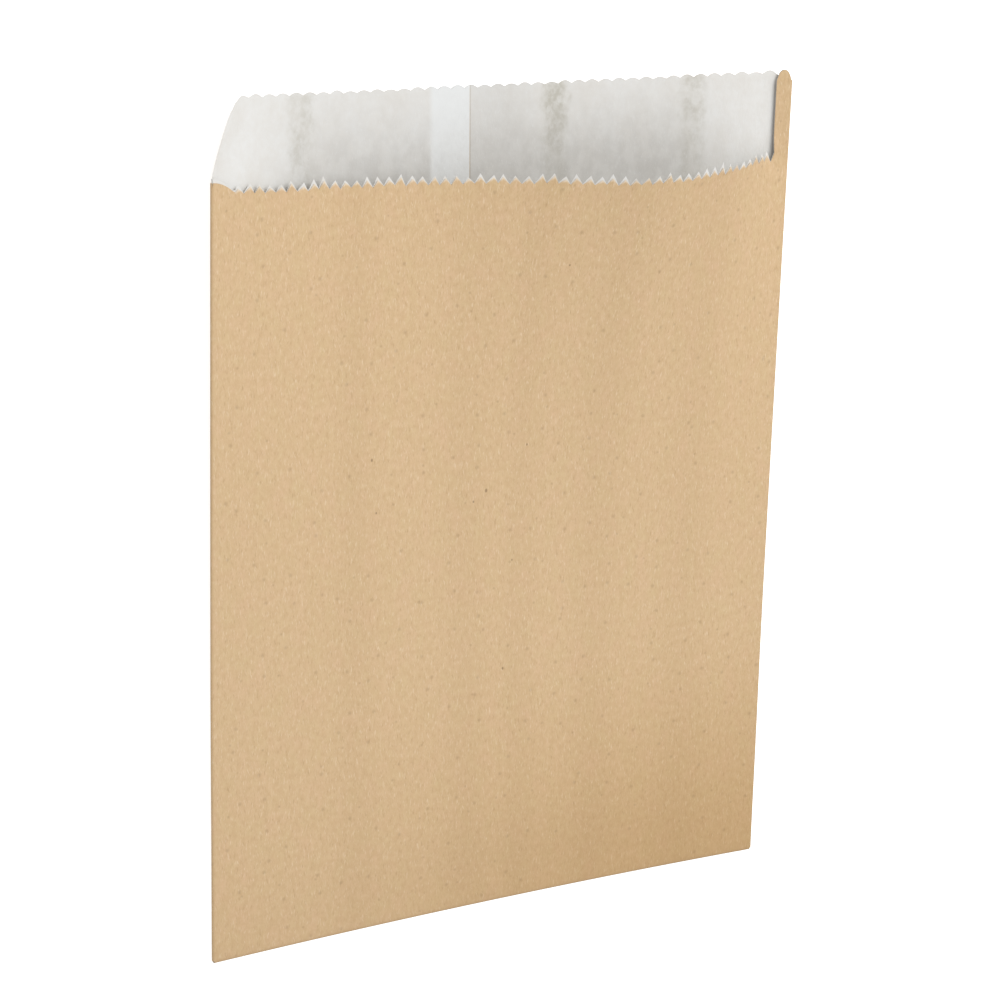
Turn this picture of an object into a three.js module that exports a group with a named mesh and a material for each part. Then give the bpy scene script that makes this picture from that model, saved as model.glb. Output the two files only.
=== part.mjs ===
// A flat paper lunch bag of two plies, kraft outside and greaseproof liner inside.
// It lies on its back with +Y towards the mouth, which stands a little open.
// Both plies are one sheet each. A sheet is cut flat as a blank, wrapped into a tube whose ends
// lap on the back, closed by a flap folded under the bottom edge, and then opened at the mouth.
import * as THREE from "three";

// Overall sizes of the flattened bag, in millimetres
const bagWidth = 180;
const backHeight = 236;
const lipDrop = 23.5;

// Paper: each ply's thickness, and the air between plies that lie on each other
const paperThickness = 0.1;
const plyGap = 0.1;

// Mouth: rounded scallops on the back edge, sharp teeth on the front lip
const scallopPitch = 4.2;
const scallopDepth = 1.1;
const toothPitch = 3.55;
const toothDepth = 3;
const linerProud = 1.1;

// The ear is a strip of the front that stays at the back's height beside the right fold, a
// little wider at its foot. The left corner of the back is cut away along a curve, and the lip
// has no teeth under it.
const earWidth = 5.9;
const earFootWidth = 1;
const cornerWidth = 7.1;
const cornerSweep = 1.2;
const cornerRise = 2.2;
const smoothLipWidth = 6;

// Back seam and bottom flap
const lapCentre = -15.8;
const lapWidth = 12.2;
const lapEase = 5;
const flapLength = 20;
const flapInset = 2;

// Opened shape: how far the folds rise at the mouth, and how the front stands off the back. Its
// bulge has a place and a spread as shares of half the width, and the folds' creases hold it down.
const leftFoldLift = 8.2;
const rightFoldLift = 9.7;
const foldLiftTaper = 1.13;
const evenRise = 3.1;
const bulgeHeight = 36.1;
const bulgePlace = 0.9;
const bulgeSpread = 0.76;
const creaseHold = 1.34;
const mouthTaper = 3.2;
const settleRun = 60;

// How far the middle of the bottom edge bows up the bag, and how far the mouth's middle dips
const bottomBow = 1.2;
const mouthDip = 1.1;

// Facets
const columnStep = 10;
const rowStep = 24;
const foldSteps = 6;
const cornerSteps = 5;
const smoothLipSteps = 3;
const scallopSteps = 4;
const leastSpan = 0.2;

// Levels of the plies, from the kraft back wall up. The liner lies one pitch inside the kraft,
// and the pocket leaves room for the raised end of the lap.
const plyPitch = paperThickness + plyGap;
const lapRaise = 2 * plyPitch;
const frontLevel = 5 * plyPitch;
const foldRadius = frontLevel / 2;
const foldX = bagWidth / 2 - foldRadius - paperThickness / 2;

// The flap carries the front's two plies round the bottom edge and under the back wall
const flapLevel = -2 * plyPitch;
const bottomRadius = (frontLevel - flapLevel) / 2;
const bottomCentre = (frontLevel + flapLevel) / 2;
const bottomRun = Math.PI * bottomRadius;
const flapX = bagWidth / 2 - flapInset;
const floorLevel = paperThickness / 2 - flapLevel;

// Heights and places along the mouth
const lipHeight = backHeight - lipDrop;
const lipRoot = lipHeight - toothDepth / 2;
const backRoot = backHeight - scallopDepth;
const leftFoldHeight = lipHeight + cornerRise;
const earX = bagWidth / 2 - earWidth;
const earFootX = earX - earFootWidth;
const earMiddle = (earX + foldX) / 2;
const smoothLipX = -foldX + smoothLipWidth;
const cornerX = -foldX + cornerWidth;
const lapLeft = lapCentre - lapWidth / 2;
const lapRight = lapCentre + lapWidth / 2;

// Rows end below the lip's roots, and where the mouth is higher one more row runs just over the lip
const bandStart = lipRoot - 2 * toothDepth;
const shoulder = lipHeight + linerProud;

// The origin is under the middle of the bag's box
const lowestY = -(bottomRadius + paperThickness / 2);
const middleY = (backHeight + linerProud + lowestY) / 2;

function clamp(value, low, high) {
  return Math.min(Math.max(value, low), high);
}

function smoothstep(value) {
  const t = clamp(value, 0, 1);
  return t * t * (3 - 2 * t);
}

// Evenly spaced values from one end to the other, no further apart than the step
function spaced(from, to, step) {
  const count = Math.max(1, Math.ceil(Math.abs(to - from) / step - 1e-6));
  return Array.from({ length: count + 1 }, (_, i) => from + ((to - from) * i) / count);
}

// The same through a chain of stops, each kept exactly
function spacedThrough(stops, step) {
  const parts = stops.slice(1).map((stop, i) => spaced(stops[i], stop, step).slice(1));
  return [stops[0], ...parts.flat()];
}

// How far the front stands off the back at the lip, from fold to fold: a low even rise and a
// bulge on the right, both held down beside the folds
function frontBulge(x) {
  const u = clamp(x / foldX, -1, 1);
  const bulge = bulgeHeight * Math.exp(-(((u - bulgePlace) / bulgeSpread) ** 2));
  return (1 - u * u) ** creaseHold * (evenRise + bulge);
}

// Takes a point of the flat, folded bag to its place in the opened bag that lies on the floor
function opened(x, y, level, front) {
  const u = clamp(x / foldX, -1, 1);
  const foldLift = x < 0 ? leftFoldLift : rightFoldLift;
  const up = Math.max(y, 0);
  const share = up / backHeight;
  const lift = foldLift * u * u * share ** foldLiftTaper;
  const sway = (1 - u * u) * (bottomBow * (1 - share) ** 2 - mouthDip * share ** 2);
  const settle = (floorLevel - paperThickness / 2) * smoothstep((up - flapLength - toothDepth) / settleRun);
  const reach = Math.min(up, shoulder);
  const bulge = front ? frontBulge(x) * (reach / lipHeight) ** mouthTaper : 0;
  // The sheet keeps its length, so its slope draws the lip back towards the bottom
  const slopeLoss = (mouthTaper * mouthTaper) / (4 * mouthTaper - 2);
  const drawn = up > 0 ? (slopeLoss * bulge * bulge) / up : 0;
  return new THREE.Vector3(x, y + sway - drawn - middleY, level + floorLevel - settle + lift + bulge);
}

// Columns run along the bag at one place of the tube's section each. A column turns a depth
// inside the kraft's middle surface into a place in the section: x and level.
function startColumn(x) {
  const raised = lapRaise * smoothstep((x - lapLeft + lapEase) / lapEase);
  return { key: "start " + x.toFixed(4), x, wall: "back", section: (depth) => [x, raised + depth] };
}

function endColumn(x) {
  return { key: "end " + x.toFixed(4), x, wall: "back", section: (depth) => [x, depth] };
}

function frontColumn(x) {
  return { key: "front " + x.toFixed(4), x, wall: "front", section: (depth) => [x, frontLevel - depth] };
}

function foldColumn(side, turn) {
  const section = (depth) => [
    side * (foldX + (foldRadius - depth) * Math.cos(turn)),
    foldRadius + (foldRadius - depth) * Math.sin(turn),
  ];
  return { key: "fold " + side + " " + turn.toFixed(4), x: side * foldX, wall: "fold", section };
}

// A column's point at a distance along the blank: up from the bottom edge, or, below it, round
// the bottom fold and on along the flap
function foldedPoint(column, along, depth) {
  const [x, level] = column.section(depth);
  if (along >= 0) return opened(x, along, level, column.wall === "front");
  const radius = bottomRadius - depth;
  if (-along >= bottomRun) return opened(x, -along - bottomRun, bottomCentre - radius, false);
  const turn = -along / bottomRadius;
  const swing = new THREE.Vector2(-radius * Math.sin(turn), radius * Math.cos(turn));
  return opened(x, swing.x, bottomCentre + swing.y, false);
}

// The mouth's outline as stretches along one wall. A stretch has a root line and, on it, teeth.
function plainStretch(points) {
  return { roots: points, teeth: [] };
}

function toothedStretch(from, to, pitch, root, profile) {
  const count = Math.max(1, Math.round((to - from) / pitch));
  const width = (to - from) / count;
  const roots = [];
  const teeth = [];
  for (let i = 0; i <= count; i++) roots.push([from + i * width, root]);
  for (let i = 0; i < count; i++)
    teeth.push(profile.map(([share, rise]) => [from + (i + share) * width, root + rise]));
  return { roots, teeth };
}

// Profiles of one tooth between its roots, as shares of its width and rises over the root line
const sharpTooth = [[0.5, toothDepth]];
const scallop = [];
for (let i = 1; i < scallopSteps; i++)
  scallop.push([i / scallopSteps, scallopDepth * Math.sin((Math.PI * i) / scallopSteps)]);

function cornerCurve() {
  const points = [];
  for (let i = 0; i <= cornerSteps; i++) {
    const share = i / cornerSteps;
    const rise = (backRoot - leftFoldHeight) * share;
    points.push([-foldX + cornerWidth * share ** cornerSweep, leftFoldHeight + rise]);
  }
  return points;
}

// Nearly level from the left fold, then down to the first tooth's root
function smoothLipCurve() {
  const points = [];
  for (let i = 0; i <= smoothLipSteps; i++) {
    const share = i / smoothLipSteps;
    points.push([-foldX + smoothLipWidth * share, lipRoot + (leftFoldHeight - lipRoot) * (1 - share ** 4)]);
  }
  return points;
}

const backMouth = [
  plainStretch(cornerCurve()),
  toothedStretch(cornerX, foldX, scallopPitch, backRoot, scallop),
];
const frontMouth = [
  plainStretch(smoothLipCurve()),
  toothedStretch(smoothLipX, earFootX, toothPitch, lipRoot, sharpTooth),
  plainStretch([[earFootX, lipRoot], [earX, lipRoot]]),
  toothedStretch(earX, foldX, scallopPitch, backRoot, scallop),
];
const flapEdge = [toothedStretch(-flapX, flapX, toothPitch, flapLength, sharpTooth)];

// The part of a stretch between two places: its root points and the teeth on them, cut where
// the place falls inside a tooth. What is narrower than the least span is left out.
function cutStretch(stretches, left, right) {
  const middle = (left + right) / 2;
  const held = stretches.find(({ roots }) => roots[0][0] <= middle && middle <= roots.at(-1)[0]);
  const rootAt = (x) => heightOn(held.roots, x);
  const inside = held.roots.filter(([x]) => x > left + leastSpan && x < right - leastSpan);
  const roots = [[left, rootAt(left)], ...inside, [right, rootAt(right)]];
  const teeth = held.teeth.map((tooth, i) => {
    const outline = [held.roots[i], ...tooth, held.roots[i + 1]];
    const from = outline[0][0] - left < leastSpan ? left : outline[0][0];
    const to = right - outline.at(-1)[0] < leastSpan ? right : outline.at(-1)[0];
    if (Math.min(to, outline.at(-1)[0]) - Math.max(from, outline[0][0]) < leastSpan) return [];
    const kept = outline.filter(([x]) => x > from + leastSpan && x < to - leastSpan);
    return [[from, heightOn(outline, from)], ...kept, [to, heightOn(outline, to)]];
  });
  return { roots, teeth: teeth.filter((tooth) => tooth.length) };
}

// The height of a line of points at x, whichever way the line runs
function heightOn(line, x) {
  const spans = line.slice(1).map((point, i) => [line[i], point]);
  const gapTo = ([[x0], [x1]]) => Math.max(Math.min(x0, x1) - x, x - Math.max(x0, x1), 0);
  const [[x0, y0], [x1, y1]] = spans.reduce((best, span) => (gapTo(span) < gapTo(best) ? span : best));
  return y0 + (y1 - y0) * clamp((x - x0) / (x1 - x0), 0, 1);
}

// The flat sheet as cut: points on its columns, and triangles between them that turn
// anticlockwise when seen from outside the bag
class Blank {
  constructor() {
    this.points = [];
    this.numbers = new Map();
    this.triangles = [];
  }

  point(column, along) {
    const key = column.key + " at " + along.toFixed(4);
    if (!this.numbers.has(key)) {
      this.numbers.set(key, this.points.length);
      this.points.push({ column, along });
    }
    return this.numbers.get(key);
  }

  triangle(a, b, c) {
    if (a !== b && b !== c && c !== a) this.triangles.push([a, b, c]);
  }

  quad(a, b, c, d) {
    this.triangle(a, b, c);
    this.triangle(a, c, d);
  }

  // Triangles from one corner to each step of a chain that runs left to right above it
  fan(corner, chain) {
    for (let i = 1; i < chain.length; i++) this.triangle(corner, chain[i], chain[i - 1]);
  }

  // A strip between a bottom pair of points and a chain above them
  strip(left, right, chain) {
    const turn = Math.floor(chain.length / 2);
    this.fan(left, chain.slice(0, turn + 1));
    this.triangle(left, right, chain[turn]);
    this.fan(right, chain.slice(turn));
  }

  // Each edge that only one triangle has, in that triangle's direction
  rim() {
    const edges = new Map();
    for (const [a, b, c] of this.triangles)
      for (const [from, to] of [[a, b], [b, c], [c, a]])
        if (!edges.delete(to + " " + from)) edges.set(from + " " + to, [from, to]);
    return [...edges.values()];
  }
}

// A toothed or plain edge on top of one cell. The place turns a point of the outline into a
// point of the blank, and a cell whose outline runs the other way is drawn mirrored.
function addEdge(blank, base, side, cut, place) {
  const chain = cut.roots.map(place);
  if (side.length) blank.fan(base[1], [base[0], ...side, ...chain]);
  else blank.strip(base[0], base[1], chain);
  for (const tooth of cut.teeth) {
    const [first, last] = [tooth[0], tooth.at(-1)].map(([x]) => place([x, heightOn(cut.roots, x)]));
    blank.fan(first, [...tooth.map(place), last]);
  }
}

// The blank of one ply: its cells from column to column, from the bottom edge to the mouth
function makeBlank(proud) {
  const blank = new Blank();
  const rows = spaced(0, bandStart, rowStep);

  function addWall(xs, column, mouth, direction) {
    const columns = xs.map(column);
    // A back wall's columns run from right to left, so its outline is read mirrored
    const cuts = xs.slice(1).map((x, i) => {
      const [low, high] = direction > 0 ? [xs[i], x] : [x, xs[i]];
      return mirrored(cutStretch(mouth, low, high), direction);
    });
    const raised = cuts.map(({ roots }) => Math.min(...roots.map(([, y]) => y)) > shoulder);
    const place = ([x, y]) => blank.point(column(x), y + proud);
    cuts.forEach((cut, i) => {
      const pair = [columns[i], columns[i + 1]];
      addRows(pair);
      const base = raised[i] ? addShoulder(pair) : rowEnds(pair, bandStart);
      // The foot of the ear slopes from the last tooth's root up to the shoulder
      if (!raised[i] && raised[i + 1]) {
        blank.quad(base[0], base[1], blank.point(pair[1], shoulder), place(cut.roots[0]));
        return;
      }
      const corner = !raised[i] && raised[i - 1] ? [blank.point(pair[0], shoulder)] : [];
      addEdge(blank, base, corner, cut, place);
    });
    return columns;
  }

  function addRows([left, right]) {
    for (let j = 1; j < rows.length; j++)
      blank.quad(
        blank.point(left, rows[j - 1]),
        blank.point(right, rows[j - 1]),
        blank.point(right, rows[j]),
        blank.point(left, rows[j]),
      );
  }

  function rowEnds(pair, along) {
    return pair.map((column) => blank.point(column, along));
  }

  function addShoulder(pair) {
    const base = rowEnds(pair, bandStart);
    const top = rowEnds(pair, shoulder);
    blank.quad(base[0], base[1], top[1], top[0]);
    return top;
  }

  function addFold(first, last, side, height) {
    const turns = spaced(-Math.PI / 2, Math.PI / 2, Math.PI / foldSteps).slice(1, -1);
    const between = turns.map((turn) => foldColumn(side, side < 0 ? turn : -turn));
    const columns = [first, ...between, last];
    for (let i = 1; i < columns.length; i++) {
      const pair = [columns[i - 1], columns[i]];
      addRows(pair);
      const base = addShoulder(pair);
      const top = rowEnds(pair, height + proud);
      blank.quad(base[0], base[1], top[1], top[0]);
    }
  }

  function addFlap(xs) {
    const turns = spaced(0, -bottomRun, bottomRun / foldSteps);
    for (let i = 1; i < xs.length; i++) {
      const pair = [frontColumn(xs[i - 1]), frontColumn(xs[i])];
      for (let j = 1; j < turns.length; j++)
        blank.quad(
          blank.point(pair[0], turns[j]),
          blank.point(pair[1], turns[j]),
          blank.point(pair[1], turns[j - 1]),
          blank.point(pair[0], turns[j - 1]),
        );
      // Below the bottom edge the outline points down the blank, so it is read from the right
      const cut = mirrored(cutStretch(flapEdge, xs[i - 1], xs[i]), -1);
      const place = ([x, y]) => blank.point(frontColumn(x), -bottomRun - y);
      const base = [pair[1], pair[0]].map((column) => blank.point(column, turns.at(-1)));
      addEdge(blank, base, [], cut, place);
    }
  }

  const cornerXs = cornerCurve().map(([x]) => x);
  const lipXs = [...smoothLipCurve().map(([x]) => x), earFootX, earX, earMiddle, foldX];
  const startStops = [lapRight, lapLeft, lapLeft - lapEase, ...cornerXs.toReversed()];
  const frontStops = [...lipXs.slice(0, 1), -flapX, ...lipXs.slice(1, -1), flapX, foldX];
  const frontXs = spacedThrough(frontStops.toSorted((a, b) => a - b), columnStep);
  const flapXs = frontXs.filter((x) => Math.abs(x) <= flapX + 1e-6);

  const start = addWall(spacedThrough(startStops, columnStep), startColumn, backMouth, -1);
  const front = addWall(frontXs, frontColumn, frontMouth, 1);
  const end = addWall(spacedThrough([foldX, lapLeft], columnStep), endColumn, backMouth, -1);
  addFold(start.at(-1), front[0], -1, leftFoldHeight);
  addFold(front.at(-1), end[0], 1, backRoot);
  addFlap(flapXs);
  return blank;
}

function mirrored({ roots, teeth }, direction) {
  if (direction > 0) return { roots, teeth };
  return { roots: roots.toReversed(), teeth: teeth.map((tooth) => tooth.toReversed()) };
}

// One ply as a closed solid: the blank folded at two depths, with a cut edge all round
function plyGeometry(depth, proud) {
  const blank = makeBlank(proud);
  const outer = depth - paperThickness / 2;
  const inner = depth + paperThickness / 2;
  const places = [outer, inner].flatMap((side) =>
    blank.points.map(({ column, along }) => foldedPoint(column, along, side)),
  );
  const back = blank.points.length;
  const faces = blank.triangles.flatMap(([a, b, c]) => [a, b, c, back + c, back + b, back + a]);
  for (const [from, to] of blank.rim())
    faces.push(from, back + from, back + to, from, back + to, to);
  const geometry = new THREE.BufferGeometry().setFromPoints(places).setIndex(faces);
  geometry.computeVertexNormals();
  return geometry;
}

function ply(name, depth, proud, colour, roughness) {
  const material = new THREE.MeshStandardMaterial({ color: colour, roughness, metalness: 0 });
  const mesh = new THREE.Mesh(plyGeometry(depth, proud), material);
  mesh.name = name;
  return mesh;
}

const bag = new THREE.Group();
bag.add(ply("kraft_outer", 0, 0, 0xd6b892, 0.85));
bag.add(ply("greaseproof_liner", plyPitch, linerProud, 0xe4e4e2, 0.6));

export default bag;
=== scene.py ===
# %% [markdown]
# # A lined paper bag, made from two flat sheets
#
# A flat paper bag is two webs of paper, brown kraft outside and white greaseproof inside. The
# machine wraps them into a tube, laps and glues the ends on the back, cuts the tube with a toothed
# knife and folds a flap under the bottom. This notebook makes the bag the same way: two blanks are
# cut, folded and given their thickness, and then the papers get their materials. The construction
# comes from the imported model, which also gives the sizes that can be read from it.

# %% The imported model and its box
import bpy
import math
import numpy as np
from mathutils import Matrix, Vector


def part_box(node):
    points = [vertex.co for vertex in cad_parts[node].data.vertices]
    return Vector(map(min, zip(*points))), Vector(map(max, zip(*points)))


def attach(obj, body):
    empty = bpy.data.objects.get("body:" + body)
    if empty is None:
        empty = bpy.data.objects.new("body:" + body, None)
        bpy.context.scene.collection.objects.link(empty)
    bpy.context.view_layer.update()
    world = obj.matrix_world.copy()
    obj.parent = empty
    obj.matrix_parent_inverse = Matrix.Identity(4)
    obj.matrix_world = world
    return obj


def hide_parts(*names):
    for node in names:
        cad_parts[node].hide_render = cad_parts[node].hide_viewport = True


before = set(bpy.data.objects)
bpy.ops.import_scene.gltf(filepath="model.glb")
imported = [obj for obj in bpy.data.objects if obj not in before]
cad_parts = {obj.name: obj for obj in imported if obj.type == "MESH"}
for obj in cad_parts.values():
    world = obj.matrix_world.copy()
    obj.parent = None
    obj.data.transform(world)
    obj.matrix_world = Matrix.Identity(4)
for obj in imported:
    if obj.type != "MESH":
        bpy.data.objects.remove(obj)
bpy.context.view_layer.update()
kraft_low, kraft_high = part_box("kraft_outer")
print("kraft box in mm:", [round(1000 * v, 2) for v in (*kraft_low, *kraft_high)])

# %% [markdown]
# ## Sizes of the folded bag
#
# All sizes are in metres. The bag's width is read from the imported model, and the rest are the sizes
# that a bag maker would set: how far the lip is cut below the back, how the teeth are pitched, how
# wide the glued lap is. They could be typed wherever they are needed, but writing each size once
# keeps both plies, the mouth and the patterns on the paper in step.

# %% Driving sizes
MM = 0.001
bag_width = kraft_high.x - kraft_low.x
back_height = 236 * MM
lip_drop = 23.5 * MM
paper_thickness = 0.1 * MM
ply_pitch = 0.2 * MM

scallop_pitch = 4.2 * MM
scallop_depth = 1.1 * MM
tooth_pitch = 3.2 * MM
tooth_depth = 3 * MM
liner_proud = 1.1 * MM

ear_width = 5.25 * MM
ear_foot_width = 1.65 * MM
ear_round = 2.2 * MM
ear_rise = 0.8 * MM
corner_width = 7.1 * MM
corner_sweep = 1.2
corner_rise = 2.2 * MM
corner_round = 1.3 * MM
smooth_lip_width = 6 * MM
smooth_lip_rise = 1.3 * MM

lap_centre = -15.8 * MM
lap_width = 12.2 * MM
lap_ease = 5 * MM
flap_length = 20 * MM
flap_inset = 2 * MM

# %% Sizes of the opened mouth
left_fold_lift = 8.2 * MM
right_fold_lift = 9.7 * MM
fold_lift_taper = 1.13
even_rise = 3.1 * MM
bulge_height = 36.1 * MM
bulge_place = 0.9
bulge_spread = 0.76
crease_hold = 1.34
mouth_taper = 3.2
settle_run = 60 * MM
bottom_bow = 1.2 * MM
mouth_dip = 1.1 * MM

# %% Places that follow from them
plies_in_lap = 2
plies_under_front = 5
plies_in_flap = 2
lap_raise = plies_in_lap * ply_pitch
front_level = plies_under_front * ply_pitch
fold_radius = front_level / 2
fold_x = bag_width / 2 - fold_radius - paper_thickness / 2
flap_level = -plies_in_flap * ply_pitch
bottom_radius = (front_level - flap_level) / 2
bottom_centre = (front_level + flap_level) / 2
bottom_run = math.pi * bottom_radius
flap_x = bag_width / 2 - flap_inset
floor_level = paper_thickness / 2 - flap_level

lip_height = back_height - lip_drop
lip_root = lip_height - tooth_depth / 2
back_root = back_height - scallop_depth
left_fold_height = lip_height + corner_rise
ear_x = bag_width / 2 - ear_width
ear_foot_x = ear_x - ear_foot_width
smooth_lip_x = -fold_x + smooth_lip_width
corner_x = -fold_x + corner_width
lap_left = lap_centre - lap_width / 2
lap_right = lap_centre + lap_width / 2
band_start = lip_root - 2 * tooth_depth
shoulder = lip_height + liner_proud
lowest_y = -(bottom_radius + paper_thickness / 2)
middle_y = (back_height + liner_proud + lowest_y) / 2
print("lip at", round(lip_height / MM, 1), "mm, side folds at", round(fold_x / MM, 2), "mm")

# %% [markdown]
# ## Columns and rows of the blank
#
# Paper bends in one direction at a time, so a grid whose columns run along the bag and whose rows
# run round it can take every fold. The columns follow the knife: four to a tooth and five to a
# scallop, so that each tip and root gets a vertex of its own. A subdivided plane could do this
# only with far more faces, because its columns would miss the teeth.

# %% How teeth and scallops are spread along the mouth
columns_per_tooth = 4
columns_per_scallop = 5
tooth_count = round((ear_foot_x - smooth_lip_x) / tooth_pitch)
tooth_width = (ear_foot_x - smooth_lip_x) / tooth_count
scallop_count = round((fold_x - corner_x) / scallop_pitch)
scallop_width = (fold_x - corner_x) / scallop_count
print(tooth_count, "teeth and", scallop_count, "scallops")


def spread(start, end, steps):
    """Values from start to end in even steps, both ends included."""
    return np.linspace(start, end, steps + 1)


# %% Columns of the front, from the left fold to the right one
front_xs = np.concatenate([
    spread(-fold_x, -flap_x, steps=2),
    spread(-flap_x, smooth_lip_x, steps=6)[1:-1],
    spread(smooth_lip_x, ear_foot_x, steps=columns_per_tooth * tooth_count),
    spread(ear_x, flap_x, steps=8),
    spread(flap_x, fold_x, steps=4)[1:],
])

# %% Columns of the back, from the trimmed corner to the right fold
corner_xs = -fold_x + corner_width * spread(0, 1, steps=12) ** corner_sweep
scallop_xs = spread(corner_x, fold_x, steps=columns_per_scallop * scallop_count)
back_xs = np.concatenate([corner_xs, scallop_xs[1:]])
least_span = 0.2 * MM
fold_turns = spread(-math.pi / 2, math.pi / 2, steps=8)[1:-1]


def tube_columns(start_x):
    """Walls and places of the tube's section, from the start of the web to its end."""
    start = back_xs[back_xs < lap_right - least_span][::-1]
    end = back_xs[back_xs > lap_left + least_span][::-1]
    parts = [
        ("start", np.append(start_x, start), None),
        ("left fold", np.full(len(fold_turns), -fold_x), fold_turns),
        ("front", front_xs, None),
        ("right fold", np.full(len(fold_turns), fold_x), -fold_turns),
        ("end", np.append(end, lap_left), None),
    ]
    wall = np.concatenate([np.full(len(xs), name) for name, xs, _ in parts])
    x = np.concatenate([xs for _, xs, _ in parts])
    turn = np.concatenate([np.zeros(len(xs)) if t is None else t for _, xs, t in parts])
    return wall, x, turn


# %% Rows: the flap, the turn under the bottom, the wall, the toothed band and the back's top
wall_step = 3 * MM
flap_shares = np.array([1, 0.85, 0.6, 0.3])
turn_rows = spread(-bottom_run, 0, steps=8)
wall_rows = spread(0, band_start, steps=round(band_start / wall_step))[1:]
band_shares = spread(0, 1, steps=5)[1:]
top_shares = spread(0, 1, steps=9)[1:]
bottom_row = len(flap_shares) + len(turn_rows) - 1
lip_row = bottom_row + len(wall_rows) + len(band_shares)
row_count = lip_row + len(top_shares) + 1
print(row_count, "rows,", len(tube_columns(lap_right)[1]), "columns")

# %% [markdown]
# ## The knife's outline
#
# The lip has sharp teeth and the back edge has shallow scallops. A real knife tears rather than
# shears, so no two teeth are alike: some are short, some lean, and the liner, which is the softer
# paper, pokes out above the kraft by a different amount along the lip. A row of equal triangles
# would be simpler, but it looks stamped. Seeded random numbers give the wear, and they come out
# alike at each run.

# %% Uneven teeth and scallops, alike in both plies because one stroke of the knife cuts them
knife_seed = 11
tooth_height_shares = (0.48, 0.78)
tooth_root_rises_mm = (0.15, 0.6)
greatest_lean_mm = 0.4
scallop_height_shares = (0.5, 0.9)
knife_rng = np.random.default_rng(knife_seed)
tooth_heights = knife_rng.uniform(*tooth_height_shares, tooth_count + 1) * tooth_depth
tooth_roots = knife_rng.uniform(*tooth_root_rises_mm, tooth_count + 2) * MM
tooth_leans = knife_rng.uniform(-greatest_lean_mm, greatest_lean_mm, tooth_count + 1) * MM
scallop_heights = knife_rng.uniform(*scallop_height_shares, scallop_count + 1) * scallop_depth
swing_stops = spread(-fold_x, fold_x, steps=29)
print("teeth are", round(tooth_heights.min() / MM, 1), "to", round(tooth_heights.max() / MM, 1), "mm deep")


class Ply:
    """How one ply's cut edge differs: how proud it is, and how its teeth are bent."""

    def __init__(self, seed, proud, proud_swing, bends_mm):
        rng = np.random.default_rng(seed)
        self.proud = proud
        self.swings = rng.uniform(-1, 1, len(swing_stops)) * proud_swing
        self.slip = rng.uniform(-1, 1, tooth_count + 1) * proud_swing / 2
        self.bend = rng.uniform(*bends_mm, tooth_count + 1) * MM

    def swing(self, x, number):
        """How much prouder than usual the ply is, at a place and on that tooth."""
        return np.interp(x, swing_stops, self.swings) + self.slip[number]


# %% A column's place on its tooth, and two soft curves
rounding_slack = 1e-6


def tooth_place(x):
    """Each column's tooth, and how far it lies from that tooth's root to its tip."""
    phase = (x - smooth_lip_x) / tooth_width
    number = np.clip(np.floor(phase + rounding_slack), 0, tooth_count - 1).astype(int)
    return number, 1 - np.abs(2 * np.clip(phase - number, 0, 1) - 1)


def smoothstep(value):
    """From 0 to 1, slow at both ends."""
    t = np.clip(value, 0, 1)
    return t * t * (3 - 2 * t)


def bell(offset):
    """From 1 at no offset down to 0 on both sides."""
    return np.exp(-(offset ** 2))


# %% Height of the lip and of the back edge, with the share of a proud edge that each place shows
root_proud = 0.15
tip_proud = 0.75
ear_proud = 0.1
ear_squareness = 2.8
round_run = 1.2 * MM


def fold_top(ply):
    """Where the back edge and the ear's rounded top meet, at the right fold."""
    return back_height - ear_round + ear_proud * ply.proud


def lip_outline(x, ply):
    """The front's cut edge between the left fold and the ear."""
    number, rise = tooth_place(x)
    nearest_root = np.clip(np.round((x - smooth_lip_x) / tooth_width), 0, tooth_count).astype(int)
    toothed = lip_root + tooth_roots[nearest_root] + tooth_heights[number] * rise
    share = np.clip((x + fold_x) / smooth_lip_width, 0, 1)
    lip_end = lip_root + smooth_lip_rise
    smooth = np.where(x < 0, lip_end + (left_fold_height - lip_end) * (1 - share ** 2), lip_root)
    inside = (x > smooth_lip_x + least_span) & (x < ear_foot_x - least_span)
    poke = np.where(inside, root_proud + (tip_proud - root_proud) * rise, 1 - (1 - root_proud) * share)
    return np.where(inside, toothed, smooth) + (ply.proud + inside * ply.swing(x, number)) * poke


def back_outline(x, ply):
    """The back's cut edge: a swept corner on the left and scallops up to the right fold."""
    share = np.clip((x + fold_x) / corner_width, 0, 1) ** (1 / corner_sweep)
    corner = left_fold_height + (back_root - left_fold_height) * share
    phase = np.clip((x - corner_x) / scallop_width, 0, scallop_count)
    number = np.minimum(phase.astype(int), scallop_count)
    scalloped = corner + scallop_heights[number] * np.abs(np.sin(math.pi * phase))
    cut = np.where(x > corner_x, scalloped, corner) + ply.proud
    at_corner = bell((x - corner_x) / round_run)
    at_fold = smoothstep((x - ear_x) / (ear_width / 2))
    return cut - corner_round * at_corner - (back_root + ply.proud - fold_top(ply)) * at_fold


def ear_outline(x, ply):
    """The ear's rounded top."""
    across = np.clip(2 * (x - ear_x) / (fold_x - ear_x) - 1, -1, 1)
    return fold_top(ply) + (ear_round + ear_rise) * (1 - np.abs(across) ** ear_squareness)


# %% [markdown]
# ## Folding the blank
#
# A sheet could be folded by hand with a hundred turns of small face rows, or by a cloth
# simulation, but neither keeps two plies exactly one paper apart. The fold is worked out instead:
# each point of the flat blank goes to its place in the wrapped tube, and from there to its place in
# the opened bag. The paper is not stretched, so where the front bulges it draws the lip back.

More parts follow.
